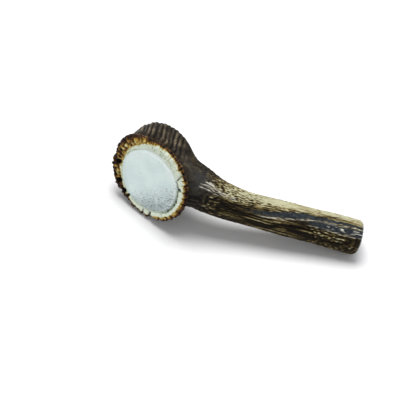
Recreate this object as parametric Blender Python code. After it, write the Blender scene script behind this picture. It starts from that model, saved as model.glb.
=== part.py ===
"""Deer antler chew: a burr, the flared crown behind it and one sawn shaft, grown as a single piece."""

import math

import bmesh
import bpy
import numpy as np

mm = 0.001

# Driving dimensions, in millimetres, in the antler's own frame: its origin is the burr's middle,
# x runs along the shaft and z points up
burrRadius = 28.9  # outer rim of the ringed base, across the lobes
burrFlat = 28.8  # distance from the burr's middle to its worn flat edge, underneath
flatToward = math.radians(278.0)  # where round the burr that edge lies
ringShoulder = 2.6  # the ring stands out this much farther on its far upper side
ringShoulderAt = math.radians(27.0)
ringShoulderWidth = math.radians(26.0)
sealRadius = 21.1  # pale cast face inside the ring
sealShift = 2.25  # and how far it sits below the ring's middle
crownRadius = 22.7  # the crown across, behind the neck
crownLow = 26.0  # how far the crown reaches down
crownSag = 2.5  # and how much lower it gets toward its widest section
crownDepth = 21.7  # depth of the crown's widest section behind the cast face
crownLift = 5.7  # sideways lean of the crown between the neck and that section
leanStart = 5.0  # depth at which the lean begins
heelLength = 13.0  # rounded end of the crown beyond that section
heelSink = 0.6  # the heel drops by this share of its own length
neckDepth = 3.0
neckFlare = 4.6  # how much wider the crown is where it meets the ring
flareLength = 5.0
farFlare = 3.4  # how much wider still on its far upper side
farSide = math.radians(22.0)
farFade = (9.0, 25.0)  # depths between which that widening dies away
shaftRadius = 10.6
shaftRootAt = (-3.5, -1.2)  # start of the shaft's middle line, sideways and upright from the burr's middle
shaftDroop = (1.4, 1.6)  # how far it has moved, the other way on both, at the sawn end
rootRise = (3.0, 3.2)  # bend of the middle line near the crown
rootRiseAt = 25.0
rootRiseLength = 22.0
rootFlare = 1.6  # extra radius where the shaft leaves the crown
rootFlareAt = 30.0
rootFlareLength = 24.0
knuckleFlare = 1.25  # short swelling on the root's upper side: its extra radius
knuckleRise = (0.95, 0.9)  # and the bend of the middle line that keeps the lower side as it is
knuckleAt = 32.0
knuckleLength = 9.0
swells = ((0.35, 19.0, 0.0), (0.2, 7.5, 1.0))  # slow changes of the radius: height, length, start
shaftEnd = 138.6  # sawn end, from the burr's middle along the shaft
endRound = 2.6  # worn edge of the sawn end
burrTurn = math.radians(50.5)  # between the burr's own axis and the shaft
blend = 3.0  # fillet between crown and shaft, on the side of the burr
crotchBlend = 11.5  # and on the other side
crotchBounds = (-8.0, 10.0)  # the fillet grows between these places, across the shaft
pivot = (35.5, -18.0)  # the sections between crown and shaft turn about this line

# Outlines of the ring and of the cast face: waves round the burr, height, start in degrees
ringWaves = ((1, 1.2, 80.0), (2, 0.45, 70.0), (3, 0.43, 83.0))
sealWaves = ((1, sealShift, 96.0), (5, 0.25, 0.0))

# Fine relief, in millimetres
lobeCount = 30
lobeHeight = 0.9
ribCount = 34
ribHeight = 0.55
ribShares = (0.0, 0.12, 0.55, 0.9)  # the ribs rise and fade at these shares of the turn from burr to shaft
ribFade = 15.0
furrowDepth = 0.55
furrows = ((7, 1.0, 0.018, 0.5), (11, 0.7, -0.03, 0.0), (17, 0.6, 0.05, 2.0))  # count, height, drift, start

# Attitude at rest, in degrees
restRoll = -3.58
restPitch = 6.86

around = 120  # points in each section
fanSteps = 11
shaftSteps = 15
centring = 0.25  # share of the shaft over which its sections come onto the middle line
farthest = 70.0  # no point of a section is farther than this from its middle
halvings = 30

inward = np.array([math.cos(burrTurn), math.sin(burrTurn), 0.0])
acrossBurr = np.array([-math.sin(burrTurn), math.cos(burrTurn), 0.0])
liftAlongBurr = np.array([-0.713, 0.589, 0.378])  # the crown leans this way as it leaves the burr
sinkAlongBurr = np.array([-0.295, 0.2375, -0.925])  # and its heel sinks this way


def smoothStep(low, high, value):
    share = np.clip((value - low) / (high - low), 0.0, 1.0)
    return share * share * (3.0 - 2.0 * share)


def hump(centre, width, value):
    return np.exp(-np.square((value - centre) / width))


def waves(table, angles):
    return sum(height * np.cos(count * angles + math.radians(start)) for count, height, start in table)


def shaftAxis(x):
    """Centre of the shaft at a distance x along it: a slight droop toward the sawn end."""
    share = x / shaftEnd
    root = hump(rootRiseAt, rootRiseLength, x)
    knuckle = hump(knuckleAt, knuckleLength, x)
    sideways = shaftRootAt[0] - shaftDroop[0] * share + rootRise[0] * root + knuckleRise[0] * knuckle
    upright = shaftRootAt[1] - shaftDroop[1] * share + rootRise[1] * root + knuckleRise[1] * knuckle
    return np.stack([x, sideways, upright], axis=-1)


def shaftSize(x):
    swell = sum(height * np.cos(x / length + start) for height, length, start in swells)
    flare = rootFlare * hump(rootFlareAt, rootFlareLength, x) + knuckleFlare * hump(knuckleAt, knuckleLength, x)
    return shaftRadius + flare + swell


def crownGap(points):
    """Below zero inside the crown, in about millimetres."""
    depth = points @ inward
    lean = smoothStep(leanStart, crownDepth, depth)
    beyond = np.maximum(depth - crownDepth, 0.0)
    centre = depth[..., None] * inward + crownLift * lean[..., None] * liftAlongBurr
    centre = centre + heelSink * beyond[..., None] * sinkAlongBurr
    offset = points - centre
    level = offset @ acrossBurr
    upright = offset[..., 2]
    width = crownRadius + neckFlare * np.exp(-np.maximum(depth - neckDepth, 0.0) / flareLength)
    farShare = np.maximum(np.cos(np.arctan2(upright, level) - farSide), 0.0) ** 3
    width = width + farFlare * farShare * (1.0 - smoothStep(*farFade, depth))
    drop = crownLow + crownSag * lean
    upright = np.where(upright > 0.0, upright / width, upright / drop)
    return (np.sqrt((level / width) ** 2 + upright**2 + (beyond / heelLength) ** 2) - 1.0) * crownRadius


def shaftGap(points):
    x = points[..., 0]
    offset = points - shaftAxis(x)
    return np.hypot(offset[..., 1], offset[..., 2]) - shaftSize(x)


def bodyGap(points):
    """The crown and the shaft grown together, with a fillet between them."""
    crown = crownGap(points)
    shaft = shaftGap(points)
    fillet = blend + (crotchBlend - blend) * smoothStep(*crotchBounds, points[..., 1] + points[..., 2])
    mix = np.clip(0.5 + 0.5 * (shaft - crown) / fillet, 0.0, 1.0)
    return shaft * (1.0 - mix) + crown * mix - fillet * mix * (1.0 - mix)


def reach(centre, directions):
    """Distance from the centre to the surface in each direction, by halving."""
    near = np.zeros(len(directions))
    far = np.full(len(directions), farthest)
    for _ in range(halvings):
        middle = 0.5 * (near + far)
        inside = bodyGap(centre + directions * middle[:, None]) < 0.0
        near = np.where(inside, middle, near)
        far = np.where(inside, far, middle)
    return 0.5 * (near + far)


def directionsOf(turn, angles):
    """Unit vectors of a section whose normal is turned by this much from the shaft."""
    level = np.array([-math.sin(turn), math.cos(turn), 0.0])
    return np.cos(angles)[:, None] * level + np.sin(angles)[:, None] * np.array([0.0, 0.0, 1.0])


def burrOutline(angles):
    """Radius of the ring before its lobes: egg-shaped, with a shoulder above and a worn flat edge below."""
    shoulder = ringShoulder * hump(ringShoulderAt, ringShoulderWidth, angles)
    flat = burrFlat / np.maximum(np.cos(angles - flatToward), 0.5)
    return np.minimum(burrRadius + waves(ringWaves, angles) + shoulder, flat)


def sealOutline(angles):
    return sealRadius + waves(sealWaves, angles)


def burrRings(angles):
    """The cast face, the groove round it, the lobed ring and its back, from the middle outward."""
    spokes = directionsOf(burrTurn, angles)
    outline = burrOutline(angles)
    seal = sealOutline(angles)
    lobes = np.cos(lobeCount * angles) + 0.5 * np.cos(0.5 * lobeCount * angles + 0.8)
    lobes = 0.5 * lobes * lobeHeight
    # radius, depth behind the cast face and share of the lobes, from the middle outward
    profile = [
        (0.34 * seal, -0.25, 0.0),
        (0.68 * seal, -0.15, 0.0),
        (0.92 * seal, 0.0, 0.0),
        (seal, 0.25, 0.0),
        (seal + 0.8, 1.3, 0.0),
        (seal + 1.8, 0.2, 0.1),
        (0.5 * (seal + outline) + 0.9, -0.3, 0.4),
        (outline - 1.2, 0.1, 0.8),
        (outline - 0.2, 1.4, 1.0),
        (outline - 0.6, 3.2, 0.7),
        (outline - 1.7, 4.8, 0.3),
    ]
    rings = []
    for radius, depth, share in profile:
        rings.append(spokes * (radius + share * lobes)[:, None] + depth * inward)
    return rings


def fanRings(angles):
    """Sections that turn from the burr's plane to one square across the shaft."""
    rings = []
    burrSide = -np.dot(acrossBurr[:2], pivot)
    shaftSide = shaftRootAt[0] - pivot[1]
    for step in range(fanSteps + 1):
        share = step / fanSteps
        turn = burrTurn * (1.0 - share)
        level = np.array([-math.sin(turn), math.cos(turn), 0.0])
        away = burrSide * (1.0 - share) + shaftSide * share
        centre = np.array([pivot[0], pivot[1], 0.0]) + level * away
        spokes = directionsOf(turn, angles)
        radius = reach(centre, spokes)
        ribbed = smoothStep(*ribShares[:2], share) * (1.0 - smoothStep(*ribShares[2:], share))
        radius = radius + ribbed * ribHeight * np.cos(ribCount * angles)
        radius = radius - share * grooves(angles, pivot[0] - ribFade * (1.0 - share))
        rings.append(centre + spokes * radius[:, None])
    return rings


def grooves(angles, x):
    """Depth of the shaft's long furrows, which drift a little round it."""
    cuts = sum(height * np.cos(count * angles + drift * x + start) for count, height, drift, start in furrows)
    return 0.5 * furrowDepth * cuts


def shaftRings(angles):
    rings = []
    spokes = directionsOf(0.0, angles)
    last = shaftEnd - endRound
    for step in range(1, shaftSteps + 1):
        x = pivot[0] + (last - pivot[0]) * step / shaftSteps
        past = (x - pivot[0]) / (last - pivot[0])
        centre = np.array([x, shaftRootAt[0] - shaftDroop[0] * past, shaftRootAt[1] - shaftDroop[1] * past])
        centre[2] -= shaftRootAt[1] * (1.0 - smoothStep(0.0, centring, past))
        radius = reach(centre, spokes)
        rings.append(centre + spokes * (radius - grooves(angles, x))[:, None])
    edge = rings[-1]
    middle = edge.mean(axis=0)
    # the sawn end: a rounded edge, then a face that is a little hollow
    for share, ahead in ((0.93, 0.62), (0.78, 1.0), (0.55, 0.9), (0.28, 0.8)):
        rings.append(middle + (edge - middle) * share + np.array([ahead * endRound, 0.0, 0.0]))
    return rings


def turned(points):
    """The attitude in which the piece lies still on a level surface, its lowest point at zero."""
    roll = math.radians(restRoll)
    pitch = math.radians(restPitch)
    rollBy = np.array(
        [[1.0, 0.0, 0.0], [0.0, math.cos(roll), -math.sin(roll)], [0.0, math.sin(roll), math.cos(roll)]]
    )
    pitchBy = np.array(
        [[math.cos(pitch), 0.0, math.sin(pitch)], [0.0, 1.0, 0.0], [-math.sin(pitch), 0.0, math.cos(pitch)]]
    )
    lying = points @ (pitchBy @ rollBy).T
    low = lying.min(axis=0)
    high = lying.max(axis=0)
    return lying - np.array([0.5 * (low[0] + high[0]), 0.5 * (low[1] + high[1]), low[2]])


def loft(name, rings, first, last):
    """One closed mesh through rings of equal count, with a point at either end."""
    count = len(rings[0])
    points = turned(np.vstack([first[None, :], *rings, last[None, :]])) * mm
    mesh = bmesh.new()
    verts = [mesh.verts.new(point) for point in points]
    rows = [verts[1 + i * count : 1 + (i + 1) * count] for i in range(len(rings))]
    for j in range(count):
        k = (j + 1) % count
        mesh.faces.new((verts[0], rows[0][k], rows[0][j]))
        for here, after in zip(rows, rows[1:]):
            mesh.faces.new((here[j], here[k], after[k], after[j]))
        mesh.faces.new((rows[-1][j], rows[-1][k], verts[-1]))
    bmesh.ops.recalc_face_normals(mesh, faces=mesh.faces)
    bmesh.ops.triangulate(mesh, faces=mesh.faces)
    data = bpy.data.meshes.new(name)
    mesh.to_mesh(data)
    mesh.free()
    data.shade_smooth()
    return bpy.data.objects.new(name, data)


def bark():
    material = bpy.data.materials.new("antlerBark")
    material.use_nodes = True
    shader = material.node_tree.nodes["Principled BSDF"]
    shader.inputs["Base Color"].default_value = (0.17, 0.13, 0.085, 1.0)
    shader.inputs["Roughness"].default_value = 0.5
    shader.inputs["Metallic"].default_value = 0.0
    return material


def main():
    for thing in list(bpy.data.objects):
        bpy.data.objects.remove(thing, do_unlink=True)
    group = bpy.data.collections.new("deerAntlerChew")
    bpy.context.scene.collection.children.link(group)
    angles = np.arange(around) * 2.0 * math.pi / around
    rings = burrRings(angles) + fanRings(angles) + shaftRings(angles)
    first = -0.3 * inward
    last = rings[-1].mean(axis=0)
    antler = loft("antler", rings, first, last)
    antler.data.materials.append(bark())
    group.objects.link(antler)


main()
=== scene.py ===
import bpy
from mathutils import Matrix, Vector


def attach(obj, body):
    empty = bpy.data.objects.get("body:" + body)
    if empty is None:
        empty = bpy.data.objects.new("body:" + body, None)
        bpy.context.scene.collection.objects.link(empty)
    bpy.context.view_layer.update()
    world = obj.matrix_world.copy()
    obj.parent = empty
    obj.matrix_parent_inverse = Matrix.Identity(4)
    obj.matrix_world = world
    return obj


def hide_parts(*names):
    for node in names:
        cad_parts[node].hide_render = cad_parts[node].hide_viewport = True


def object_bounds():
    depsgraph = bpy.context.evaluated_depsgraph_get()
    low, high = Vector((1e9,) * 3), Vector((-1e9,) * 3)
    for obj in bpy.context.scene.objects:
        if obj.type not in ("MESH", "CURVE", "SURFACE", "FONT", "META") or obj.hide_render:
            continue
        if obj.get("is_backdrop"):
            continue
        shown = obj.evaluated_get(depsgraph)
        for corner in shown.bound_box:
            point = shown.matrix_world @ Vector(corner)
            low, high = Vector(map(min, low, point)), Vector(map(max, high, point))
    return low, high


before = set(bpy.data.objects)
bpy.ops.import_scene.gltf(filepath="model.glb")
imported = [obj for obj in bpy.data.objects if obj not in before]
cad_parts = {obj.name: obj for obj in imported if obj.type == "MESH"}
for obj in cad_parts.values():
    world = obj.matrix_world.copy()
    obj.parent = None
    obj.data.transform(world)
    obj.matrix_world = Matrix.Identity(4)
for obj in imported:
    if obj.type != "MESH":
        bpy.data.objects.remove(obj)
cadLow, cadHigh = (list(corner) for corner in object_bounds())

import math
import random

import bmesh
import bpy
import numpy as np
from mathutils import Matrix, Vector, noise

print("frame loaded")

# All lengths in millimetres, in the antler's own frame: x along the shaft, z up and the origin
# in the middle of the burr
body = {
    "burrTurn": 50.5,  # degrees between the burr's axis and the shaft
    "burrRadius": 28.3,
    "burrFlat": 28.1,  # from the burr's middle to its worn flat edge, underneath
    "flatToward": 278.0,
    "shoulder": 2.6,  # how much farther the ring stands out on its far upper side
    "shoulderAt": 27.0,
    "shoulderWidth": 26.0,
    "sealRadius": 21.1,  # pale cast face inside the ring
    "sealShift": 2.25,
    "crownRadius": 22.7,
    "crownLow": 26.0,  # how far the crown reaches down
    "crownSag": 2.5,  # and how much lower it gets toward its widest section
    "crownDepth": 21.7,
    "crownLift": 5.7,  # sideways lean of the crown between the neck and that section
    "leanStart": 5.0,
    "heelLength": 13.0,
    "heelSink": 0.6,  # the heel drops by this share of its own length
    "neckDepth": 3.0,
    "neckFlare": 4.6,
    "flareLength": 5.0,
    "farFlare": 3.4,
    "farSide": 22.0,
    "farFade": (9.0, 25.0),
    "shaftRadius": 10.6,
    "swells": ((0.35, 19.0, 0.0), (0.2, 7.5, 1.0)),  # slow changes of the radius: height, length, start
    "rootFlare": 1.6,
    "rootFlareAt": 30.0,
    "rootFlareLength": 24.0,
    "rootRise": (3.0, 3.2),  # bend of the middle line near the crown
    "rootRiseAt": 25.0,
    "rootRiseLength": 22.0,
    "knuckleFlare": 1.25,  # short swelling on the root's upper side
    "knuckleRise": (0.95, 0.9),
    "knuckleAt": 32.0,
    "knuckleLength": 9.0,
    "rootAt": (-3.5, -1.2),
    "droop": (1.4, 1.6),
    "shaftEnd": 138.6,
    "endRound": 2.6,
    "blend": 3.0,  # fillet between crown and shaft, on the side of the burr
    "crotchBlend": 11.5,  # and on the other side
    "crotchBounds": (-8.0, 10.0),
    "pivot": (35.5, -18.0),
    "roll": -3.58,  # attitude on the floor, degrees
    "pitch": 6.86,
    "shift": (-57.8268, -10.5718, 29.7388),
}

# sections of the mesh, the seed of the lobes, and how the surface is searched for along a spoke
mesh = {"around": 360, "fan": 92, "shaft": 108, "seed": 7, "farthest": 70.0, "halvings": 28}

turn = math.radians(body["burrTurn"])
inward = np.array([math.cos(turn), math.sin(turn), 0.0])
acrossBurr = np.array([-math.sin(turn), math.cos(turn), 0.0])
upward = np.array([0.0, 0.0, 1.0])
# the crown leans one way as it leaves the burr, and its heel sinks another
liftAlongBurr = np.array([-0.713, 0.589, 0.378])
sinkAlongBurr = np.array([-0.295, 0.2375, -0.925])
spoke = np.arange(mesh["around"]) * 2.0 * math.pi / mesh["around"]


def smoothStep(low, high, value):
    share = np.clip((value - low) / (high - low), 0.0, 1.0)
    return share * share * (3.0 - 2.0 * share)


def hump(centre, width, value):
    return np.exp(-np.square((value - centre) / width))


def wrapped(angle, centre):
    # signed difference of two angles in degrees, within half a turn
    return (angle - centre + 180.0) % 360.0 - 180.0


def grain(points, stretch, seed):
    scaled = points * np.array(stretch) + seed
    return np.array([noise.noise(Vector(p)) for p in scaled])


def middleLine(x):
    share = x / body["shaftEnd"]
    root = hump(body["rootRiseAt"], body["rootRiseLength"], x)
    sideways = body["rootAt"][0] - body["droop"][0] * share + body["rootRise"][0] * root
    upright = body["rootAt"][1] - body["droop"][1] * share + body["rootRise"][1] * root
    return np.stack([x, sideways, upright], axis=-1)


def shaftAxis(x):
    # the middle line with the knuckle's bend
    knuckle = hump(body["knuckleAt"], body["knuckleLength"], x)
    return middleLine(x) + knuckle[..., None] * np.array([0.0, *body["knuckleRise"]])


def shaftSize(x):
    swell = sum(height * np.cos(x / length + start) for height, length, start in body["swells"])
    flare = body["rootFlare"] * hump(body["rootFlareAt"], body["rootFlareLength"], x)
    flare = flare + body["knuckleFlare"] * hump(body["knuckleAt"], body["knuckleLength"], x)
    return body["shaftRadius"] + flare + swell


def crownGap(points):
    # below zero inside the crown
    depth = points @ inward
    lean = smoothStep(body["leanStart"], body["crownDepth"], depth)
    beyond = np.maximum(depth - body["crownDepth"], 0.0)
    centre = depth[..., None] * inward + body["crownLift"] * lean[..., None] * liftAlongBurr
    centre = centre + body["heelSink"] * beyond[..., None] * sinkAlongBurr
    offset = points - centre
    level = offset @ acrossBurr
    upright = offset[..., 2]
    flare = body["neckFlare"] * np.exp(-np.maximum(depth - body["neckDepth"], 0.0) / body["flareLength"])
    farShare = np.maximum(np.cos(np.arctan2(upright, level) - math.radians(body["farSide"])), 0.0) ** 3
    width = body["crownRadius"] + flare
    width = width + body["farFlare"] * farShare * (1.0 - smoothStep(*body["farFade"], depth))
    drop = body["crownLow"] + body["crownSag"] * lean
    upright = np.where(upright > 0.0, upright / width, upright / drop)
    away = np.sqrt((level / width) ** 2 + upright**2 + (beyond / body["heelLength"]) ** 2)
    return (away - 1.0) * body["crownRadius"]


def shaftGap(points):
    x = points[..., 0]
    offset = points - shaftAxis(x)
    return np.hypot(offset[..., 1], offset[..., 2]) - shaftSize(x)


def bodyGap(points):
    # the crown and the shaft grown together, with a fillet between them
    crown = crownGap(points)
    shaft = shaftGap(points)
    crotch = smoothStep(*body["crotchBounds"], points[..., 1] + points[..., 2])
    fillet = body["blend"] + (body["crotchBlend"] - body["blend"]) * crotch
    mix = np.clip(0.5 + 0.5 * (shaft - crown) / fillet, 0.0, 1.0)
    return shaft * (1.0 - mix) + crown * mix - fillet * mix * (1.0 - mix)


def reach(centre, directions):
    # distance from the centre to the surface in each direction, by halving
    near = np.zeros(len(directions))
    far = np.full(len(directions), mesh["farthest"])
    for _ in range(mesh["halvings"]):
        middle = 0.5 * (near + far)
        inside = bodyGap(centre + directions * middle[:, None]) < 0.0
        near = np.where(inside, middle, near)
        far = np.where(inside, far, middle)
    return 0.5 * (near + far)


def directionsOf(angle):
    level = np.array([-math.sin(angle), math.cos(angle), 0.0])
    return np.cos(spoke)[:, None] * level + np.sin(spoke)[:, None] * upward


# The lobes of the ring: cracks at uneven angles, wide lobes on the right, fine teeth at the top.
# All angles round the burr are in degrees, and each side is an angle and a width
lobes = {
    "firstCrack": 244.7,
    "secondCrack": 258.5,
    "wide": 12.5,
    "wideSide": (200.0, 55.0),
    "fine": 5.6,
    "fineSide": (85.0, 40.0),
    "plain": 7.8,
    "smallest": 3.0,
    "jitter": 0.55,
    "height": 0.7,
    "thickness": 3.7,
    "notch": 0.35,
    "rightSide": (190.0, 62.0),
    "topSide": (95.0, 38.0),
    "leftSide": (352.0, 52.0),
    "rimHighlight": (110.0, 80.0),  # where a highlight is painted along the cast face's rounded rim
    "moatFrom": (140.0, 156.0),  # the groove round it is deeper between these, and darker with painted shadow from the cast face's raised edge
    "moatTo": (204.0, 234.0),
    "tear": 54.0,  # one ochre lobe slants across the ring from here
    "porousToward": 221.0,  # the cast face is porous on this side
    "rowsToward": 239.0,  # and its grain lies in rows, one below the other toward here
    # share of the ring's width that is sanded pale, by angle
    "paleTo": (
        (0, 0.07), (15, 0.18), (48, 0.34), (66, 0.6), (78, 0.78), (90, 0.9), (120, 0.87),
        (142, 0.8), (163, 0.75), (184, 0.62), (204, 0.57), (224, 0.55), (241, 0.57), (256, 0.62),
        (275, 0.5), (288, 0.28), (305, 0.16), (320, 0.1), (335, 0.2), (345, 0.05), (360, 0.07),
    ),
    # and the share at which its ochre ends
    "ochreTo": (
        (0, 0.73), (30, 0.82), (60, 0.95), (90, 1.04), (120, 1.02), (150, 1.0), (184, 0.97),
        (224, 0.93), (241, 0.84), (256, 0.74), (275, 0.62), (288, 0.4), (310, 0.45), (330, 0.7),
        (345, 0.66), (360, 0.73),
    ),
}

# Cracks that run in across the ring: angle, slant in degrees to a millimetre, half width in degrees, depth
deepCracks = [
    (137.0, 1.5, 1.5, 0.9),
    (225.0, 0.2, 0.9, 0.4),
    (246.5, -0.6, 1.7, 1.2),
    (258.5, 0.0, 1.1, 0.9),
    (296.5, -0.8, 2.2, 1.2),
]


def along(table, x):
    return np.interp(x, [row[0] for row in table], [row[1] for row in table])


def nearSide(name, angle):
    at, width = lobes[name]
    return hump(0.0, width, wrapped(angle, at))


def lobeCells():
    # place of each spoke across its lobe, the lobe's size from 0.3 to 1, and degrees to the nearest crack
    dice = random.Random(mesh["seed"])
    last = lobes["firstCrack"] + 360.0
    cracks = [lobes["firstCrack"], lobes["secondCrack"]]
    while True:
        here = cracks[-1] % 360.0
        step = lobes["plain"] + (lobes["fine"] - lobes["plain"]) * float(nearSide("fineSide", here))
        step = step + (lobes["wide"] - lobes["plain"]) * float(nearSide("wideSide", here))
        step = step * (1.0 + lobes["jitter"] * (2.0 * dice.random() - 1.0))
        if cracks[-1] + step > last - lobes["smallest"]:
            break
        cracks.append(cracks[-1] + step)
    edges = np.array(cracks + [last])
    size = np.array([0.3 + 0.7 * dice.random() for _ in cracks])
    degrees = np.degrees(spoke)
    degrees = np.where(degrees < edges[0], degrees + 360.0, degrees)
    cell = np.clip(np.searchsorted(edges, degrees, side="right") - 1, 0, len(cracks) - 1)
    across = (degrees - edges[cell]) / (edges[cell + 1] - edges[cell])
    toCrack = np.minimum(degrees - edges[cell], edges[cell + 1] - degrees)
    return across, size[cell], toCrack


lobeAcross, lobeSize, toCrack = lobeCells()
lobeBump = 1.0 - np.abs(2.0 * lobeAcross - 1.0) ** 2.6
degrees = np.degrees(spoke)


def burrOutline():
    egg = 1.2 * np.cos(spoke + math.radians(80.0)) + 0.45 * np.cos(2.0 * spoke + math.radians(70.0))
    corners = 0.43 * np.cos(3.0 * spoke + math.radians(83.0))
    corners = corners + body["shoulder"] * hump(body["shoulderAt"], body["shoulderWidth"], degrees)
    flat = body["burrFlat"] / np.maximum(np.cos(spoke - math.radians(body["flatToward"])), 0.5)
    return np.minimum(body["burrRadius"] + egg + corners, flat)


def sealOutline():
    wobble = 0.25 * np.cos(5.0 * spoke) + 0.1 * np.cos(11.0 * spoke + 2.0)
    return body["sealRadius"] + body["sealShift"] * np.cos(spoke + math.radians(96.0)) + wobble


def finishSection(masks, **values):
    # one section's share of each finish; those that aren't given are zero
    for name in masks:
        masks[name].append(values.get(name, np.zeros_like(spoke)))


# Holes and dark gaps of the groove round the cast face: angle, radius, half width, depth
moatHoles = [
    (345.1, 24.6, 1.9, 2.4),
    (314.8, 25.4, 1.7, 2.4),
    (298.5, 25.8, 1.7, 2.2),
    (289.5, 24.8, 1.0, 1.4),
    (305.0, 25.4, 0.9, 1.0),
    (326.0, 24.3, 1.0, 0.8),
    (158.0, 23.2, 1.1, 1.4),
    (145.9, 21.1, 0.7, 1.2),
    (158.2, 22.0, 0.8, 1.3),
    (183.7, 22.6, 0.9, 1.4),
    (192.0, 22.7, 0.8, 1.3),
    (210.5, 23.1, 0.8, 1.0),
    (171.0, 22.0, 0.6, 0.8),
    (223.0, 23.4, 0.6, 0.7),
    (8.0, 25.4, 1.0, 1.2),
    (24.0, 25.8, 0.9, 1.0),
    (52.0, 24.6, 0.8, 1.0),
]


outline = burrOutline()
seal = sealOutline()
ringWidth = outline - seal
crack = np.exp(-np.square(toCrack / (0.55 + 0.35 * lobeSize)))
split = np.exp(-np.square(toCrack)) * (1.6 * lobeSize - 0.4)
rightSide = nearSide("rightSide", degrees)
topSide = nearSide("topSide", degrees)
leftSide = np.clip(1.4 * nearSide("leftSide", degrees), 0.0, 1.0)
moatSide = smoothStep(*lobes["moatFrom"], degrees) * (1.0 - smoothStep(*lobes["moatTo"], degrees))


def burrSteps():
    # zones of the burr from its middle outward, and the places of the sections in each of them
    steps = [("seal", t) for t in np.linspace(0.06, 0.93, 11)]
    steps += [("rim", t) for t in (0.0, 0.33, 0.66, 1.0)]
    steps += [("moat", t) for t in (0.25, 0.5, 0.75, 1.0)]
    steps += [("band", t) for t in np.linspace(0.06, 1.0, 24)]
    steps += [("edge", t) for t in np.linspace(0.1, 1.0, 12)]
    return steps


def burrShape(kind, t):
    # radius and depth of a section before its fine relief, how open its cracks are,
    # and how far it is round to the ring's back
    weak = np.zeros_like(spoke)
    back = 0.0
    if kind == "seal":
        radius = seal * t
        depth = -0.55 + 0.3 * t * t + 0.0 * spoke
    elif kind == "rim":
        radius = seal * 0.93 + (seal * 0.07 - 0.1) * t
        depth = -0.29 - 0.14 * t * (1.0 - t) + 0.6 * t**4 + 0.0 * spoke
    elif kind == "moat":
        radius = seal - 0.1 + 1.0 * t
        low = 0.4 + 0.4 * rightSide + 0.3 * leftSide - 0.38 * topSide
        depth = 0.3 + low * math.sin(math.pi * t) - 0.45 * t
    elif kind == "band":
        radius = seal + 0.9 + (ringWidth - 2.1) * t
        swell = math.sin(math.pi * min(1.0, t * 1.05)) ** 0.8
        depth = -0.15 - 0.5 * swell + 0.35 * t
        depth = depth - 0.4 * lobeBump * smoothStep(0.35, 0.9, t) * (1.0 - 0.5 * topSide)
        depth = depth + 0.7 * moatSide * (1.0 - smoothStep(0.1, 0.28, t))
        weak = smoothStep(0.3, 0.9, t) * crack
    else:
        back = smoothStep(0.35, 1.0, t)
        swing = math.radians(-60.0 + 205.0 * t)
        radius = outline - 1.3 + 1.5 * math.cos(swing) - 0.6
        depth = 0.5 * lobes["thickness"] * (1.0 + math.sin(swing) / 0.94)
        depth = depth + max(0.0, t - 0.75) * 3.0 + 0.0 * spoke
        weak = crack * (1.0 - 0.5 * back)
        bulge = lobes["height"] * lobeSize * lobeBump * (1.0 - 0.4 * topSide + 0.8 * rightSide)
        radius = radius + bulge * (1.0 - 0.7 * smoothStep(0.6, 1.0, t)) - lobes["notch"] * weak
    return radius, depth, weak, back


def deepPlaces(radius, share, back):
    # depth of the cracks that run in across the ring, and of the holes in its groove
    deep = np.zeros_like(spoke)
    for angle, slant, half, sunk in deepCracks:
        apart = wrapped(degrees, angle - slant * (radius - 25.0))
        deep = np.maximum(deep, sunk * np.exp(-np.square(apart / half)))
    hole = np.zeros_like(spoke)
    for angle, at, half, sunk in moatHoles:
        apart = np.radians(wrapped(degrees, angle)) * at
        away = np.square(apart / half) + np.square((radius - at) / half)
        hole = np.maximum(hole, sunk * np.exp(-np.square(away)))
    return deep * smoothStep(0.12, 0.3, share) * (1.0 - 0.6 * back), hole


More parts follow.
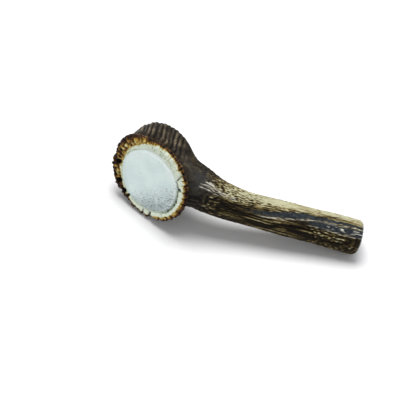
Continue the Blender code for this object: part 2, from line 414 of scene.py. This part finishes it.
def burrRings(masks):
    paleTo = along(lobes["paleTo"], degrees)
    ochreTo = along(lobes["ochreTo"], degrees)
    spokes = directionsOf(turn)
    rings = []
    for kind, t in burrSteps():
        radius, depth, weak, back = burrShape(kind, t)
        share = (radius - seal) / ringWidth
        points = spokes * radius[:, None] + depth[:, None] * inward
        lumps = grain(points, (0.5, 0.5, 0.5), 3.1)
        fine = grain(points, (1.2, 1.2, 1.2), 9.4)
        radial = grain(np.stack([degrees, radius, 0.0 * radius], axis=-1), (0.42, 0.12, 1.0), 14.0)
        knotty = 0.8 * lumps + 0.35 * fine
        rough = smoothStep(0.0, 0.2, share) * (0.3 + 0.5 * smoothStep(0.4, 0.9, share) + 0.9 * leftSide)
        deep, hole = deepPlaces(radius, share, back)
        pitted = smoothStep(0.08, 0.3, fine) * smoothStep(0.1, 0.2, share)
        pitted = pitted * (1.0 - smoothStep(0.5, 0.65, share)) * np.clip(topSide + 0.3 * leftSide, 0.0, 1.0)
        if kind == "edge":
            radius = radius + 1.1 * knotty * (1.0 - 0.6 * back) - 0.9 * deep
        depth = depth - 0.9 * rough * knotty + 0.35 * pitted + hole + 0.35 * weak + 1.1 * deep
        rings.append(spokes * radius[:, None] + depth[:, None] * inward)

        # sanded pale near the cast face, then ochre, then dark toward the outer edge
        knots = 0.1 * fine + 0.06 * weak
        pale = 1.0 - smoothStep(paleTo - 0.05, paleTo + 0.07, share + 0.12 * lumps + knots)
        knots = 0.1 * fine + 0.05 * weak
        ochre = 1.0 - smoothStep(ochreTo - 0.1, ochreTo + 0.1, share + 0.16 * lumps + knots)
        if kind == "edge":
            flecks = (0.3 + 0.8 * fine) * smoothStep(0.1, 0.3, t) * (1.0 - 0.6 * leftSide)
            ochre = ochre * (1.0 - smoothStep(0.0, 0.22, t)) + flecks
            pale = 0.0 * spoke
        tear = np.exp(-np.square(wrapped(degrees, lobes["tear"] + 2.6 * (28.0 - radius)) / 3.2))
        tear = tear * (1.0 - smoothStep(0.9, 1.0, share))
        # painted shadow in the groove beside the cast face's raised edge, on the right, with darker painted
        # shadow dots; greenish radial specks at the top join it
        groove = moatSide * smoothStep(0.02, 0.06, share)
        groove = groove * (1.0 - smoothStep(0.22, 0.34, share + 0.1 * fine))
        shadowDots = groove * smoothStep(0.02, 0.3, fine + 0.4 * lumps)
        fan = 0.6 * smoothStep(0.0, 0.35, radial) * topSide * smoothStep(0.03, 0.1, share)
        groove = np.maximum(groove, fan)
        tone = 0.12 + (0.38 - 0.16 * leftSide) * ochre + (0.42 + 0.12 * rightSide + 0.14 * leftSide) * pale
        tone = tone + 0.2 * tear * (1.0 - pale) - 0.32 * rightSide * split * smoothStep(0.45, 0.7, share)
        tone = tone + (0.14 + 0.5 * leftSide * (1.0 - 0.7 * pale)) * knotty
        # the weak cracks between the lobes are darker: partly their own ochre, partly painted shade that
        # rounds the lobes
        tone = tone - 0.2 * weak * smoothStep(0.3, 0.6, share)
        # the dots add painted shadow in the groove
        dark = 0.8 * hole + 0.9 * deep + 0.4 * pitted + 0.6 * shadowDots
        toPorous = radius * np.cos(np.radians(degrees - lobes["porousToward"]))
        finishSection(
            masks,
            tone=np.clip(tone, 0.0, 1.0),
            seal=1.0 - smoothStep(0.0, 0.035, share),
            burr=1.0 - back + 0.0 * spoke,
            crown=np.ones_like(spoke),
            hollow=np.clip(dark, 0.0, 1.0) * (1.0 - 0.8 * back),
            porous=smoothStep(3.5, 20.0, toPorous + 2.5 * lumps),
            # rim: painted highlight along the cast face's rounded rim, on its lit side
            rim=smoothStep(0.84, 0.92, radius / seal) * nearSide("rimHighlight", degrees),
            groove=np.clip(groove * (1.0 - smoothStep(0.5, 0.7, share)), 0.0, 1.0),
        )
    return rings


bark = {
    "ribs": 100,
    "ribDrop": 22.0,  # the ribs fan out from a line this far below the crown's middle
    "ribLean": 0.12,
    "ribHeight": 0.5,
    "swell": 0.35,
    "furrow": 0.6,
    "fineFurrow": 0.3,
    "pearl": 0.5,
    "knob": 0.9,
    "topEdge": 43.4,  # degrees round the shaft of the top edge in view
    "ribsMeet": (8.0, 19.0),  # no ribs closer than this to the line where they would meet
    # Girth is 0 at the top edge in view, 1 at the lower edge and 2 back at the top, round the hidden side.
    # How light the bark is, by girth in front and by girth from the top edge behind; the darkening toward the
    # lower edge is partly the bark's own dark furrows and partly painted shade on the underside
    "frontTone": (
        (0.0, 0.36), (0.08, 0.52), (0.2, 0.68), (0.3, 0.65), (0.42, 0.5), (0.54, 0.32),
        (0.7, 0.19), (0.85, 0.1), (1.0, 0.13),
    ),
    "backTone": ((0.0, 0.36), (0.2, 0.4), (0.45, 0.38), (0.7, 0.28), (1.0, 0.17)),
    # two dark bands along the shaft: girth and half girth at places along it
    "bandAt": (
        (45, 0.6), (60, 0.56), (70, 0.53), (80, 0.495), (90, 0.435), (102, 0.365), (112, 0.34), (139, 0.335),
    ),
    "bandHalf": (
        (45, 0.0), (60, 0.015), (70, 0.035), (80, 0.056), (90, 0.074), (102, 0.06), (112, 0.032), (139, 0.03),
    ),
    "bandStart": (56.0, 72.0),
    "secondAt": ((98, 0.47), (115, 0.462), (139, 0.455)),
    "secondHalf": ((98, 0.0), (106, 0.05), (115, 0.07), (139, 0.08)),
    "secondStart": (98.0, 106.0),
    # pale scratches by the root: girth, half girth, from and to along the shaft
    "scratches": (
        (0.425, 0.007, 31.0, 58.0),
        (0.495, 0.006, 30.0, 44.0),
        (0.385, 0.006, 33.0, 48.0),
        (0.455, 0.006, 34.0, 60.0),
    ),
    # a pale line beside the bands
    "lineAt": (
        (50, 0.62), (62, 0.6), (75, 0.585), (87, 0.535), (97, 0.47), (108, 0.405), (125, 0.395), (139, 0.385),
    ),
    # a dark crack near the end: from here to there along the shaft, and its girth at the two
    "crackFrom": (108.0, 124.0),
    "crackAt": (0.31, 0.2),
}


def band(at, half, x, girth, ragged):
    centre = along(bark[at], x)
    halfWidth = np.maximum(along(bark[half], x), 0.001)
    return 1.0 - smoothStep(0.7, 1.15, np.abs(girth - centre) / halfWidth + ragged)


def ribs(points, crown, nearRing):
    # ribs of the crown run level, away from the burr's side; returns their wave and how strong it is
    level = points[:, 0] - bark["ribLean"] * points[:, 1] - 6.0
    upright = points[:, 2] + bark["ribDrop"]
    angle = np.arctan2(upright, level)
    wander = grain(points, (0.12, 0.05, 0.12), 21.0)
    wave = 2.2 * np.abs(np.sin(0.5 * bark["ribs"] * angle + 1.5 * wander)) - 1.4
    wave = wave + 0.35 * np.cos(0.36 * bark["ribs"] * angle + 1.0)
    amount = crown * (1.0 - smoothStep(9.0, 20.0, points[:, 0]))
    amount = np.clip(amount * (0.8 + 0.8 * grain(points, (0.35, 0.1, 0.35), 27.0)), 0.0, 1.2)
    amount = amount * smoothStep(*bark["ribsMeet"], np.hypot(upright, level))
    return wave, amount * (1.0 - smoothStep(38.0, 50.0, points[:, 1])) * (1.0 - 0.6 * nearRing)


def wornPlaces(points, girth, dash, thinNoise, coarse, ending):
    # long scratches by the root, lines beside the dark bands, and painted glints, small pale highlights, in
    # the second band
    x = points[:, 0]
    scratch = np.zeros_like(x)
    for at, half, first, last in bark["scratches"]:
        trace = hump(at + 0.035 * coarse + 0.02 * thinNoise, half, girth)
        trace = trace * smoothStep(first - 3.0, first, x) * (1.0 - smoothStep(last - 5.0, last, x))
        scratch = np.maximum(scratch, trace)
    scratch = scratch * smoothStep(-0.35, 0.0, grain(points, (0.12, 0.3, 0.3), 52.0) + 0.3 * dash)
    line = hump(along(bark["lineAt"], x) + 0.015 * coarse, 0.012, girth) * smoothStep(66.0, 76.0, x)
    line = line * smoothStep(-0.5, 0.0, dash + 0.5 * coarse) * (1.0 - 0.6 * ending)
    lowLine = hump(0.535, 0.014, girth + 0.02 * coarse) * smoothStep(98.0, 108.0, x)
    lowLine = lowLine * smoothStep(-0.1, 0.2, dash)
    # painted glints: small pale highlights in the second dark band near the end, carried in the same mask as
    # the scratches
    glint = hump(0.45, 0.035, girth) * smoothStep(113.0, 117.0, x)
    glint = glint * smoothStep(0.24, 0.38, grain(points, (0.5, 1.0, 1.0), 115.0))
    return np.maximum(np.maximum(scratch, 0.75 * line), np.maximum(0.5 * lowLine, glint))


def barkRing(points, spokes, masks):
    # relief and finish of one section of the crown or the shaft
    x = points[:, 0]
    offset = points - middleLine(x)
    aroundShaft = np.degrees(np.arctan2(offset[:, 2], offset[:, 1]))
    girth = np.mod(aroundShaft - bark["topEdge"], 360.0) / 180.0
    inFront = girth < 1.0
    fromTop = np.where(inFront, girth, 2.0 - girth)
    lower = np.where(inFront, smoothStep(0.42, 0.6, fromTop), smoothStep(0.12, 0.4, fromTop))
    # the shaft's bark reaches farther into the crown along the top edge
    onShaft = smoothStep(27.0, 44.0, x + 10.0 * hump(0.1, 0.24, girth))
    crown = 1.0 - onShaft
    ending = smoothStep(94.0, 112.0, x)
    nearRing = 1.0 - smoothStep(5.0, 11.0, points @ inward)
    ribWave, ribAmount = ribs(points, crown, nearRing)

    # long winding furrows of the shaft, short dashes between them, knobs and pearls
    coarse = grain(points, (0.05, 0.3, 0.3), 40.0)
    wavy = points + grain(points, (0.05, 0.16, 0.16), 33.0)[:, None] * np.array([0.0, 1.2, 1.2])
    longNoise = grain(wavy, (0.018, 0.6, 0.6), 47.0)
    thinNoise = grain(wavy, (0.03, 1.25, 1.25), 55.0)
    dash = grain(wavy, (0.42, 2.1, 2.1), 58.0)
    knobs = grain(points, (0.4, 0.5, 0.5), 61.0)
    pearls = grain(points, (0.5, 0.8, 0.8), 69.0)
    net = grain(points, (0.28, 0.65, 0.65), 73.0)
    longCut = 1.0 - smoothStep(0.03, 0.17, np.abs(longNoise))
    thinCut = 1.0 - smoothStep(0.03, 0.22, np.abs(thinNoise))
    netCut = 1.0 - smoothStep(0.02, 0.17, np.abs(net))
    dashCut = smoothStep(0.05, 0.3, -dash)

    # the dark bands, the frayed edge above them, and the smooth worn top
    ragged = 0.5 * dash + 0.25 * thinNoise
    ink = band("bandAt", "bandHalf", x, girth, ragged) * smoothStep(*bark["bandStart"], x)
    second = band("secondAt", "secondHalf", x, girth, ragged) * smoothStep(*bark["secondStart"], x)
    ink = np.maximum(ink, second)
    fray = hump(along(bark["bandAt"], x) - along(bark["bandHalf"], x) - 0.04, 0.06, girth)
    fray = fray * smoothStep(40.0, 54.0, x)
    smoothTop = hump(0.19, 0.18, girth) * smoothStep(62.0, 84.0, x)
    smoothTop = smoothTop + 0.4 * hump(1.6, 0.13, girth) * smoothStep(70.0, 96.0, x)
    smoothTop = np.clip(smoothTop * 1.15, 0.0, 1.0) * (1.0 - ink)

    # how strongly each part of the bark is cut
    cut = onShaft * (1.0 - 0.85 * smoothTop) * (1.0 - 0.6 * ink)
    furrow = lower * (0.9 * longCut + 0.6 * thinCut * (1.0 - ending))
    furrow = furrow + (1.0 - lower) * (0.8 * dashCut + 0.1 * thinCut)
    furrow = np.clip(furrow + 0.8 * netCut * ending * lower, 0.0, 1.0)
    gnarl = np.clip(1.3 * hump(33.0, 9.0, x) * hump(0.74, 0.24, girth), 0.0, 1.0)
    beads = nearRing * smoothStep(0.05, 0.3, pearls)
    worn = wornPlaces(points, girth, dash, thinNoise, coarse, ending)
    relief = bark["swell"] * coarse * (0.4 + 0.6 * onShaft)
    relief = relief - bark["furrow"] * furrow * cut
    relief = relief + bark["fineFurrow"] * (dash + thinNoise) * (0.25 + 0.75 * cut)
    relief = relief + bark["ribHeight"] * ribWave * ribAmount
    relief = relief + bark["pearl"] * pearls * (ending * lower + 1.2 * gnarl)
    relief = relief + bark["knob"] * knobs * (gnarl + crown * (0.3 + 0.8 * nearRing))
    relief = relief + 0.5 * beads - 0.3 * ink + 0.2 * worn

    # the darker lower side from these lists is partly painted shade on the underside
    base = np.where(inFront, along(bark["frontTone"], girth), along(bark["backTone"], fromTop))
    base = base + (0.9 - base) * smoothTop
    base = base - 0.28 * (1.0 - smoothStep(34.0, 52.0, x)) * (1.0 - lower) - 0.12 * ending * lower
    base = base - 0.24 * smoothStep(88.0, 102.0, x) * hump(0.45, 0.11, girth)
    base = base - 0.36 * hump(0.08, 0.15, girth) * (1.0 - smoothStep(50.0, 64.0, x))
    streak = lower * (0.25 * longNoise + 0.8 * thinNoise + 0.25 * dash - 0.03)
    streak = streak + (1.0 - lower) * (0.85 * dash + 0.2 * thinNoise + 0.25 * longNoise)
    shaftTone = base + (1.0 - 0.62 * smoothTop) * (streak - 0.32 * furrow) + 0.12 * coarse
    shaftTone = shaftTone - 0.5 * fray * smoothStep(-0.2, 0.2, thinNoise + 0.6 * dash)
    shaftTone = shaftTone + gnarl * (knobs + 1.3 * pearls) + (0.14 + 0.9 * pearls) * ending * lower
    shaftTone = shaftTone + 0.19 * (1.0 - lower) * hump(60.0, 18.0, x)
    crownTone = 0.38 + 0.42 * ribWave * ribAmount + 0.4 * knobs * (0.2 + nearRing) + 0.25 * coarse
    crownTone = np.minimum(crownTone, 0.74) + 0.5 * beads

    crackAt = np.interp(x, bark["crackFrom"], bark["crackAt"])
    crackLine = 1.8 * hump(crackAt, 0.018, girth - 0.02 * dash) * hump(116.0, 7.5, x)
    ribHollow = smoothStep(0.2, 1.2, -ribWave) * ribAmount
    dark = 0.45 * furrow * cut * (1.0 - smoothTop) + 0.75 * ribHollow
    dark = dark + smoothStep(0.1, 0.35, -knobs) * (gnarl + 0.6 * nearRing)
    root = np.clip(1.3 * hump(29.0, 8.0, x) * hump(0.46, 0.26, girth), 0.0, 1.0)
    finishSection(
        masks,
        tone=np.clip(shaftTone * onShaft + crownTone * crown, 0.0, 1.0),
        crown=crown,
        root=root * (1.0 - 0.8 * gnarl) * (1.0 - 0.8 * beads),
        ink=ink,
        worn=np.clip(worn, 0.0, 1.0),
        hollow=np.clip(dark + 0.8 * crackLine, 0.0, 1.0) * (1.0 - 0.6 * ink),
    )
    return points + spokes * relief[:, None]


def fanRings(masks):
    rings = []
    pivot = body["pivot"]
    burrSide = -np.dot(acrossBurr[:2], pivot)
    shaftSide = body["rootAt"][0] - pivot[1]
    for step in range(mesh["fan"] + 1):
        share = step / mesh["fan"]
        angle = turn * (1.0 - share)
        level = np.array([-math.sin(angle), math.cos(angle), 0.0])
        centre = np.array([pivot[0], pivot[1], 0.0]) + level * (burrSide * (1.0 - share) + shaftSide * share)
        spokes = directionsOf(angle)
        points = centre + spokes * reach(centre, spokes)[:, None]
        rings.append(barkRing(points, spokes, masks))
    return rings


def shaftRings(masks):
    rings = []
    start = body["pivot"][0]
    last = body["shaftEnd"] - body["endRound"]
    spokes = directionsOf(0.0)
    for step in range(1, mesh["shaft"] + 1):
        past = step / mesh["shaft"]
        x = start + (last - start) * past
        sideways = body["rootAt"][0] - body["droop"][0] * past
        upright = body["rootAt"][1] * float(smoothStep(0.0, 0.25, past)) - body["droop"][1] * past
        centre = np.array([x, sideways, upright])
        points = centre + spokes * reach(centre, spokes)[:, None]
        rings.append(barkRing(points, spokes, masks))
    return rings


# The sawn end: place of the porous core's edge, its depth and that of its pores
sawn = {"core": (0.58, 0.68), "coreDepth": 0.25, "poreDepth": 0.8}


def cutRings(edge, masks):
    # round over the worn edge, then in across the face
    rings = []
    middle = edge.mean(axis=0)
    steps = [(1.0 - 0.2 * (1.0 - math.cos(a)), math.sin(a)) for a in np.linspace(0.25, 1.45, 6)]
    steps += [(t, 1.0) for t in np.linspace(0.76, 0.05, 15)]
    for share, ahead in steps:
        ring = middle + (edge - middle) * share
        coreAt = 1.0 - smoothStep(*sawn["core"], share + 0.08 * grain(ring, (0.3, 0.3, 0.3), 83.0))
        pores = smoothStep(0.0, 0.4, grain(ring, (1.7, 1.7, 1.7), 90.0))
        sink = coreAt * (sawn["coreDepth"] + sawn["poreDepth"] * pores)
        ring = ring + np.array([1.0, 0.0, 0.0]) * (ahead * body["endRound"] - sink)[:, None]
        rings.append(ring)
        onCut = smoothStep(0.55, 0.95, ahead) if ahead < 1.0 else 1.0
        mottle = np.clip(0.5 + 0.6 * grain(ring, (0.8, 0.8, 0.8), 96.0), 0.0, 1.0)
        for name in masks:
            masks[name].append(masks[name][-1] * (1.0 - onCut))
        masks["cut"][-1] = onCut + 0.0 * spoke
        masks["core"][-1] = coreAt
        masks["hollow"][-1] = coreAt * pores
        masks["tone"][-1] = masks["tone"][-1] + onCut * mottle
    return rings


def atRest(points):
    roll = math.radians(body["roll"])
    pitch = math.radians(body["pitch"])
    rest = Matrix.Rotation(pitch, 3, "Y") @ Matrix.Rotation(roll, 3, "X")
    return points @ np.array(rest).T + np.array(body["shift"])


def makeAntler():
    names = ("tone", "seal", "burr", "crown", "root", "ink", "worn")
    names += ("hollow", "porous", "rim", "groove", "cut", "core")
    masks = {name: [] for name in names}
    rings = burrRings(masks) + fanRings(masks) + shaftRings(masks)
    rings += cutRings(rings[-1], masks)
    print("sections worked out:", len(rings))

    grown = bmesh.new()
    order = grown.verts.layers.int.new("order")
    count = mesh["around"]
    circle = bmesh.ops.create_circle(grown, cap_ends=True, cap_tris=True, segments=count, radius=1.0)
    middle = min(circle["verts"], key=lambda v: v.co.length)
    rim = [v for v in circle["verts"] if v != middle]
    rim.sort(key=lambda v: math.atan2(v.co.y, v.co.x) % (2.0 * math.pi))
    for i, vert in enumerate(rim):
        vert[order] = i
    edges = [e for e in grown.edges if middle not in e.verts]
    for step in range(1, len(rings)):
        made = bmesh.ops.extrude_edge_only(grown, edges=edges)["geom"]
        for vert in (g for g in made if isinstance(g, bmesh.types.BMVert)):
            vert[order] += count
        edges = [g for g in made if isinstance(g, bmesh.types.BMEdge)]
        edges = [e for e in edges if min(v[order] for v in e.verts) >= step * count]
    cap = bmesh.ops.edgeloop_fill(grown, edges=edges)["faces"]
    tip = bmesh.ops.poke(grown, faces=cap)["verts"][0]
    tip[order] = (len(rings) - 1) * count

    own = np.vstack(rings)
    # lobes that touch the floor are pressed flat on it
    standing = np.clip(atRest(own) * 0.001, cadLow, cadHigh)
    for vert in grown.verts:
        vert.co = standing[vert[order]]
    middle.co = atRest(-0.55 * inward[None, :])[0] * 0.001
    tip.co = standing[-count:].mean(axis=0)
    bmesh.ops.recalc_face_normals(grown, faces=grown.faces)
    for face in grown.faces:
        face.smooth = True
    index = [vert[order] for vert in grown.verts]
    grown.verts.layers.int.remove(order)
    data = bpy.data.meshes.new("antlerBody")
    grown.to_mesh(data)
    grown.free()
    piece = bpy.data.objects.new("antlerBody", data)
    bpy.context.scene.collection.objects.link(piece)
    for name in names:
        values = np.concatenate(masks[name])[index]
        data.attributes.new(name, "FLOAT", "POINT").data.foreach_set("value", values.astype(np.float32))
    # the grain's own coordinates: drawn out along the shaft, and in rows across the cast face
    down = math.radians(lobes["rowsToward"])
    alongRow = own @ (acrossBurr * math.sin(down) - upward * math.cos(down))
    acrossRows = own @ (acrossBurr * math.cos(down) + upward * math.sin(down))
    rows = np.stack([0.4 * alongRow, acrossRows, 0.0 * alongRow], axis=-1)
    onSeal = np.concatenate(masks["seal"])[:, None]
    grainAt = own * np.array([0.1, 1.0, 1.0]) * (1.0 - onSeal) + rows * onSeal
    flow = data.attributes.new("flow", "FLOAT_VECTOR", "POINT")
    flow.data.foreach_set("vector", grainAt[index].astype(np.float32).ravel())
    print("antler mesh:", len(data.polygons), "faces")
    return piece


# Colours are linear. A list goes from the darkest hollow to the most worn ridge, with the place of each colour
finish = {
    "shaft": (
        (0.0, (0.008, 0.0058, 0.003)),
        (0.2, (0.027, 0.0185, 0.0065)),
        (0.4, (0.09, 0.064, 0.021)),
        (0.6, (0.21, 0.165, 0.07)),
        (0.8, (0.41, 0.39, 0.235)),
        (1.0, (0.59, 0.62, 0.51)),
    ),
    "crown": (
        (0.0, (0.004, 0.003, 0.002)),
        (0.35, (0.021, 0.016, 0.0105)),
        (0.6, (0.048, 0.0385, 0.025)),
        (0.8, (0.13, 0.1, 0.062)),
        (1.0, (0.3, 0.26, 0.19)),
    ),
    "ring": (
        (0.0, (0.006, 0.0035, 0.002)),
        (0.18, (0.026, 0.012, 0.005)),
        (0.34, (0.1, 0.045, 0.012)),
        (0.5, (0.34, 0.205, 0.028)),
        (0.66, (0.52, 0.44, 0.16)),
        (0.8, (0.62, 0.67, 0.5)),
        (0.94, (0.74, 0.82, 0.73)),
    ),
    "dark": (0.004, 0.0028, 0.0018),
    # the dark bands' own colour with a painted bluish sheen, and a paler painted sheen patched over it
    "ink": (0.018, 0.023, 0.028),
    "inkPale": (0.046, 0.055, 0.063),
    # greenish painted shadow in the groove, also the colour of the specks at the top
    "groove": (0.33, 0.4, 0.3),
    "root": (0.036, 0.037, 0.037),
    # pale colour of the scratches and worn lines, also used for the painted glints
    "worn": (0.58, 0.56, 0.48),
    "seal": (0.65, 0.77, 0.75),
    "sealLow": (0.4, 0.47, 0.47),
    # pale haze of the cast face, and the painted highlight along its rounded rim
    "sealPaleAndHighlight": (0.84, 0.92, 0.9),
    "speck": (0.12, 0.15, 0.16),
    "cut": (0.46, 0.5, 0.54),
    "core": (0.13, 0.1, 0.08),
    # noises: scale, detail and the two values between which each one is cut
    "streaks": (0.9, 3.0, 0.36, 0.64),
    "threads": (2.0, 3.0, 0.38, 0.62),
    "mottle": (500.0, 4.0, 0.36, 0.64),
    "cloud": (150.0, 3.0, 0.38, 0.62),
    "haze": (110.0, 4.0, 0.35, 0.65),
    "specks": (1.1, 2.0, 0.53, 0.62),
    "roughness": (0.55, 0.34),  # of the hollows and of the worn ridges
    "specular": 0.1,
    "bump": 0.4,
    "bumpDepth": 0.0003,  # metres
}


class Nodes:
    # short names for the nodes of one material
    def __init__(self, material):
        material.use_nodes = True
        self.tree = material.node_tree
        self.shader = self.tree.nodes["Principled BSDF"]

    def add(self, kind, **values):
        node = self.tree.nodes.new(kind)
        for name, value in values.items():
            setattr(node, name, value)
        return node

    def link(self, out, into):
        self.tree.links.new(out, into)

    def mask(self, name):
        return self.add("ShaderNodeAttribute", attribute_name=name).outputs["Fac"]

    def math(self, kind, first, second):
        node = self.add("ShaderNodeMath", operation=kind, use_clamp=kind != "SUBTRACT")
        for socket, value in zip(node.inputs, (first, second)):
            if isinstance(value, (int, float)):
                socket.default_value = value
            else:
                self.link(value, socket)
        return node.outputs[0]

    def spots(self, where, scale, detail, low, high):
        # a noise cut to a mask between two of its values
        cloud = self.add("ShaderNodeTexNoise")
        cloud.inputs["Scale"].default_value = scale
        cloud.inputs["Detail"].default_value = detail
        self.link(where, cloud.inputs["Vector"])
        span = self.add("ShaderNodeMapRange", interpolation_type="SMOOTHSTEP")
        span.inputs["From Min"].default_value = low
        span.inputs["From Max"].default_value = high
        self.link(cloud.outputs["Fac"], span.inputs["Value"])
        return span.outputs["Result"]

    def ramp(self, value, stops):
        node = self.add("ShaderNodeValToRGB")
        while len(node.color_ramp.elements) < len(stops):
            node.color_ramp.elements.new(1.0)
        for element, (place, colour) in zip(node.color_ramp.elements, stops):
            element.position = place
            element.color = (*colour, 1.0)
        self.link(value, node.inputs["Fac"])
        return node.outputs["Color"]

    def cover(self, below, colour, mask):
        node = self.add("ShaderNodeMix", data_type="RGBA")
        a = [i for i in node.inputs if i.name == "A" and i.type == "RGBA"][0]
        b = [i for i in node.inputs if i.name == "B" and i.type == "RGBA"][0]
        out = [o for o in node.outputs if o.type == "RGBA"][0]
        for socket, value in ((a, below), (b, colour)):
            if isinstance(value, tuple):
                socket.default_value = (*value, 1.0)
            else:
                self.link(value, socket)
        self.link(mask, node.inputs["Factor"])
        return out


def paintAntler(piece):
    material = bpy.data.materials.new("grownAntler")
    n = Nodes(material)
    flow = n.add("ShaderNodeAttribute", attribute_name="flow").outputs["Vector"]
    place = n.add("ShaderNodeTexCoord").outputs["Object"]
    streaks = n.spots(flow, *finish["streaks"])
    threads = n.spots(flow, *finish["threads"])
    mottle = n.spots(place, *finish["mottle"])
    cloud = n.spots(place, *finish["cloud"])
    haze = n.spots(place, *finish["haze"])
    specks = n.spots(flow, *finish["specks"])

    # the noises move the tone up and down the lists of colours
    shaftTone = n.math("ADD", n.mask("tone"), n.math("MULTIPLY", streaks, 0.2))
    shaftTone = n.math("SUBTRACT", n.math("ADD", shaftTone, n.math("MULTIPLY", threads, 0.14)), 0.17)
    rockTone = n.math("ADD", n.mask("tone"), n.math("MULTIPLY", mottle, 0.16))
    rockTone = n.math("SUBTRACT", n.math("ADD", rockTone, n.math("MULTIPLY", cloud, 0.1)), 0.13)

    barkColour = n.ramp(shaftTone, finish["shaft"])
    barkColour = n.cover(barkColour, n.ramp(rockTone, finish["crown"]), n.mask("crown"))
    barkColour = n.cover(barkColour, finish["root"], n.math("MULTIPLY", n.mask("root"), 0.8))
    # the dark bands, tinted bluish by painted sheen and patched with paler painted sheen
    inkColour = n.cover(finish["ink"], finish["inkPale"], n.math("MULTIPLY", streaks, mottle))
    barkColour = n.cover(barkColour, inkColour, n.mask("ink"))
    barkColour = n.cover(barkColour, finish["dark"], n.math("MULTIPLY", n.mask("hollow"), 0.8))
    # pale scratches and worn lines, and the painted glints in the second band
    barkColour = n.cover(barkColour, finish["worn"], n.mask("worn"))

    # greenish painted shadow in the groove on the right, and greenish specks at the top
    ringColour = n.cover(n.ramp(rockTone, finish["ring"]), finish["groove"], n.mask("groove"))
    ringColour = n.cover(ringColour, finish["dark"], n.mask("hollow"))
    sealColour = n.cover(finish["seal"], finish["sealPaleAndHighlight"], n.math("MULTIPLY", haze, 0.3))
    patches = n.math("ADD", 0.5, n.math("MULTIPLY", cloud, 0.5))
    sealColour = n.cover(sealColour, finish["sealLow"], n.math("MULTIPLY", n.mask("porous"), patches))
    # painted highlight along the cast face's rounded rim
    sealColour = n.cover(sealColour, finish["sealPaleAndHighlight"], n.mask("rim"))
    speckMask = n.math("MULTIPLY", specks, n.math("ADD", 0.06, n.math("MULTIPLY", n.mask("porous"), 0.75)))
    sealColour = n.cover(sealColour, finish["speck"], speckMask)
    burrColour = n.cover(ringColour, sealColour, n.mask("seal"))

    colour = n.cover(barkColour, burrColour, n.mask("burr"))
    endColour = n.cover(finish["cut"], finish["core"], n.mask("core"))
    endColour = n.cover(endColour, finish["dark"], n.math("MULTIPLY", n.mask("hollow"), 0.7))
    colour = n.cover(colour, endColour, n.mask("cut"))
    n.link(colour, n.shader.inputs["Base Color"])

    gloss = n.add("ShaderNodeMapRange")
    gloss.inputs["To Min"].default_value = finish["roughness"][0]
    gloss.inputs["To Max"].default_value = finish["roughness"][1]
    n.link(n.mask("tone"), gloss.inputs["Value"])
    n.link(gloss.outputs["Result"], n.shader.inputs["Roughness"])
    n.shader.inputs["Specular IOR Level"].default_value = finish["specular"]
    bump = n.add("ShaderNodeBump")
    bump.inputs["Strength"].default_value = finish["bump"]
    bump.inputs["Distance"].default_value = finish["bumpDepth"]
    height = n.math("ADD", n.math("MULTIPLY", threads, 0.5), n.math("MULTIPLY", mottle, 0.5))
    height = n.math("SUBTRACT", height, n.math("MULTIPLY", speckMask, 0.5))
    n.link(height, bump.inputs["Height"])
    n.link(bump.outputs["Normal"], n.shader.inputs["Normal"])
    piece.data.materials.append(material)


antlerBody = makeAntler()
paintAntler(antlerBody)
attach(antlerBody, "root")
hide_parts("antler")

studio = {
    "floorWidth": 6.0,
    "floorColour": (0.86, 0.86, 0.87),
    "keyPower": 11.0,
    "keySize": 0.7,
    "keyAt": (-0.15, 0.25, 0.9),
    "fillPower": 1.5,
    "fillSize": 1.2,
    "fillAt": (-0.6, -0.9, 0.5),
    "worldStrength": 0.42,
    "lens": 600.0,
    "sensor": 36.0,
    "pixel": 0.62,  # millimetres of the object to one pixel of the picture
    "pixels": 400.0,  # the picture's width
    # the picture's right and up in the antler's own frame
    "right": (0.946, 0.0, 0.325),
    "up": (-0.23, 0.7067, 0.668),
    "aim": (31.0, -13.64),  # middle of the picture from the burr's middle, right and up
}


def makeFloor():
    bpy.ops.mesh.primitive_plane_add(size=studio["floorWidth"])
    floor = bpy.context.object
    floor.name = "studioFloor"
    material = bpy.data.materials.new("paleFloor")
    material.use_nodes = True
    shader = material.node_tree.nodes["Principled BSDF"]
    shader.inputs["Base Color"].default_value = (*studio["floorColour"], 1.0)
    shader.inputs["Roughness"].default_value = 0.9
    shader.inputs["Specular IOR Level"].default_value = 0.1
    floor.data.materials.append(material)
    floor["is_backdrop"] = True


def makeLight(name, power, size, at):
    data = bpy.data.lights.new(name, "AREA")
    data.shape = "DISK"
    data.size = size
    data.energy = power
    lamp = bpy.data.objects.new(name, data)
    lamp.location = at
    lamp.rotation_euler = (-Vector(at)).to_track_quat("-Z", "Y").to_euler()
    bpy.context.scene.collection.objects.link(lamp)


def makeCamera():
    right = np.array(studio["right"])
    up = np.array(studio["up"])
    toward = np.cross(right, up)
    distance = studio["pixel"] * studio["pixels"] * studio["lens"] / studio["sensor"]
    at = studio["aim"][0] * right + studio["aim"][1] * up + distance * toward
    ahead = atRest(np.stack([at, at - toward, at + up]))
    back = Vector(ahead[0] - ahead[1]).normalized()
    top = Vector(ahead[2] - ahead[0]).normalized()
    side = top.cross(back).normalized()
    top = back.cross(side)
    data = bpy.data.cameras.new("viewer")
    data.lens = studio["lens"]
    data.sensor_width = studio["sensor"]
    data.clip_end = 20.0
    camera = bpy.data.objects.new("viewer", data)
    camera.matrix_world = Matrix((side, top, back)).transposed().to_4x4()
    camera.location = Vector(ahead[0]) * 0.001
    bpy.context.scene.collection.objects.link(camera)
    bpy.context.scene.camera = camera


def makeWorld():
    world = bpy.data.worlds.new("softRoom")
    world.use_nodes = True
    back = world.node_tree.nodes["Background"]
    back.inputs["Color"].default_value = (1.0, 1.0, 1.0, 1.0)
    back.inputs["Strength"].default_value = studio["worldStrength"]
    bpy.context.scene.world = world


makeFloor()
makeLight("key", studio["keyPower"], studio["keySize"], studio["keyAt"])
makeLight("fill", studio["fillPower"], studio["fillSize"], studio["fillAt"])
makeCamera()
makeWorld()
bpy.context.scene.view_settings.view_transform = "Standard"
print("studio ready")
